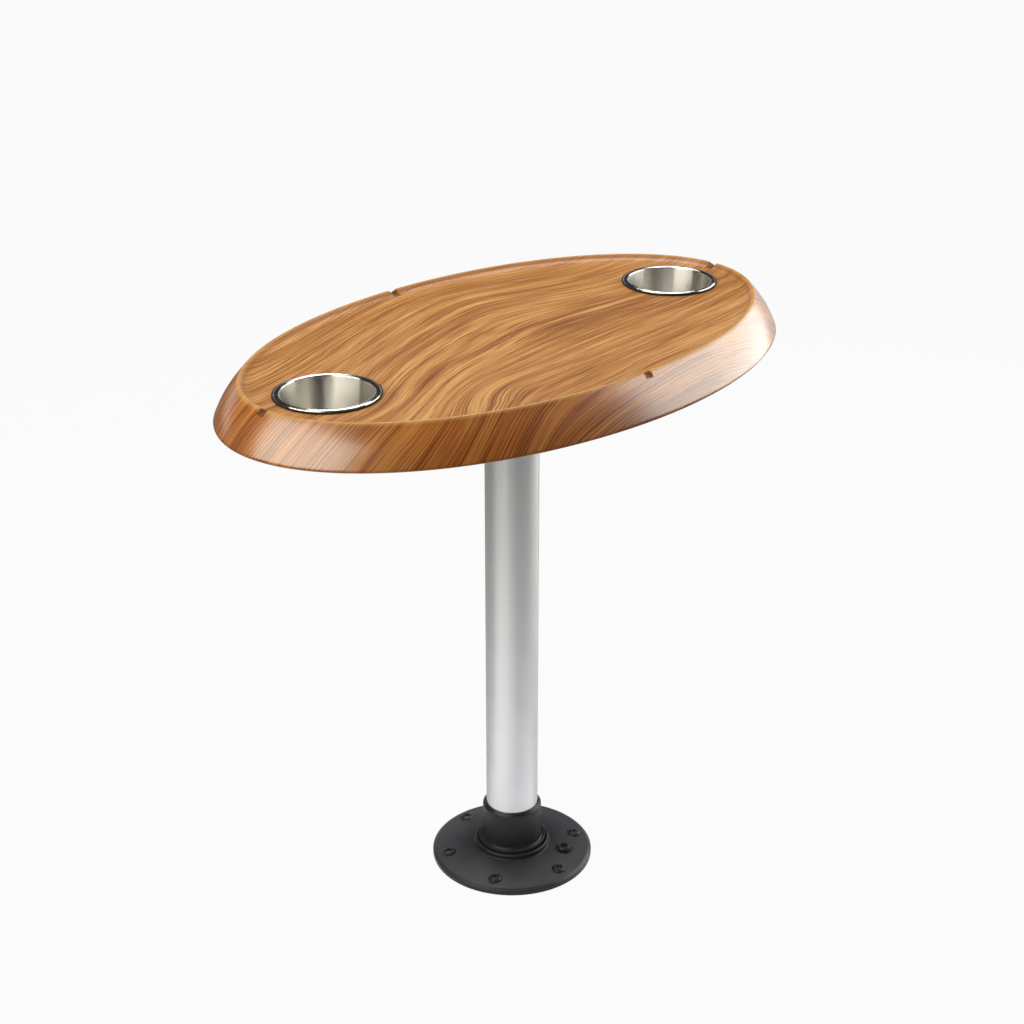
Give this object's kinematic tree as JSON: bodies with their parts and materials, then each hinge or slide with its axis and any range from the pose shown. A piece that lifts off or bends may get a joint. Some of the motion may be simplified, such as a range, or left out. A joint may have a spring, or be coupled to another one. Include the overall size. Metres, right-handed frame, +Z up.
{
  "type": "marine pedestal table",
  "caption": "Oval wooden boat table with a raised lip and drop-in cup holders; the top lifts off an aluminium post, which lifts out of a swivelling deck flange.",
  "frame": {"origin": "centre of the deck flange's underside, on the deck and on the swivel axis", "axes": "+X along the length of the oval top, +Y across it, +Z up the post"},
  "size_m": [0.721, 0.431, 0.655],
  "materials": {
    "wood": "varnished",
    "stainless": "brushed",
    "aluminium": "satin anodised",
    "black_nylon": "moulded satin",
    "black_steel": "black coated",
    "pale_nylon": "natural",
    "brass": "plain",
    "rubber": "matt"
  },
  "bodies": {
    "base": {"base_flange": "black_nylon", "base_screw_1": "black_steel", "base_screw_2": "black_steel", "base_screw_3": "black_steel", "base_screw_4": "black_steel", "base_screw_5": "black_steel", "base_screw_6": "black_steel", "deck_bolt": "black_steel", "deck_bolt_washer": "black_steel", "thrust_washer": "pale_nylon"},
    "socket": {"post_socket": "black_nylon", "retaining_ring": "stainless"},
    "post": {"post_tube": "aluminium", "post_foot_plug": "black_nylon", "post_head_plug": "black_nylon", "foot_plug_pin_1": "stainless", "foot_plug_pin_2": "stainless", "head_plug_pin_1": "stainless", "head_plug_pin_2": "stainless"},
    "top": {"table_top": "wood", "top_bracket": "black_nylon", "bracket_bush": "pale_nylon", "bracket_screw_1": "stainless", "bracket_screw_2": "stainless", "bracket_screw_3": "stainless", "bracket_screw_4": "stainless", "bracket_screw_5": "stainless", "bracket_screw_6": "stainless", "bracket_insert_1": "brass", "bracket_insert_2": "brass", "bracket_insert_3": "brass", "bracket_insert_4": "brass", "bracket_insert_5": "brass", "bracket_insert_6": "brass", "cup_gasket_left": "rubber", "cup_gasket_right": "rubber"},
    "cup_left": {"cup_holder_left": "stainless"},
    "cup_right": {"cup_holder_right": "stainless"}
  },
  "joints": [
    {"name": "base_swivel", "type": "hinge", "parent": "base", "child": "socket", "pos_m": [0, 0, 0.0142], "axis": [0, 0, 1], "continuous": true},
    {"name": "post_lift", "type": "slide", "parent": "socket", "child": "post", "axis": [0, 0, 1], "range_m": [0, 0.075]},
    {"name": "top_lift", "type": "slide", "parent": "post", "child": "top", "axis": [0, 0, 1], "range_m": [0, 0.075]},
    {"name": "cup_left_lift", "type": "slide", "parent": "top", "child": "cup_left", "axis": [0, 0, 1], "range_m": [0, 0.075]},
    {"name": "cup_right_lift", "type": "slide", "parent": "top", "child": "cup_right", "axis": [0, 0, 1], "range_m": [0, 0.075]}
  ]
}
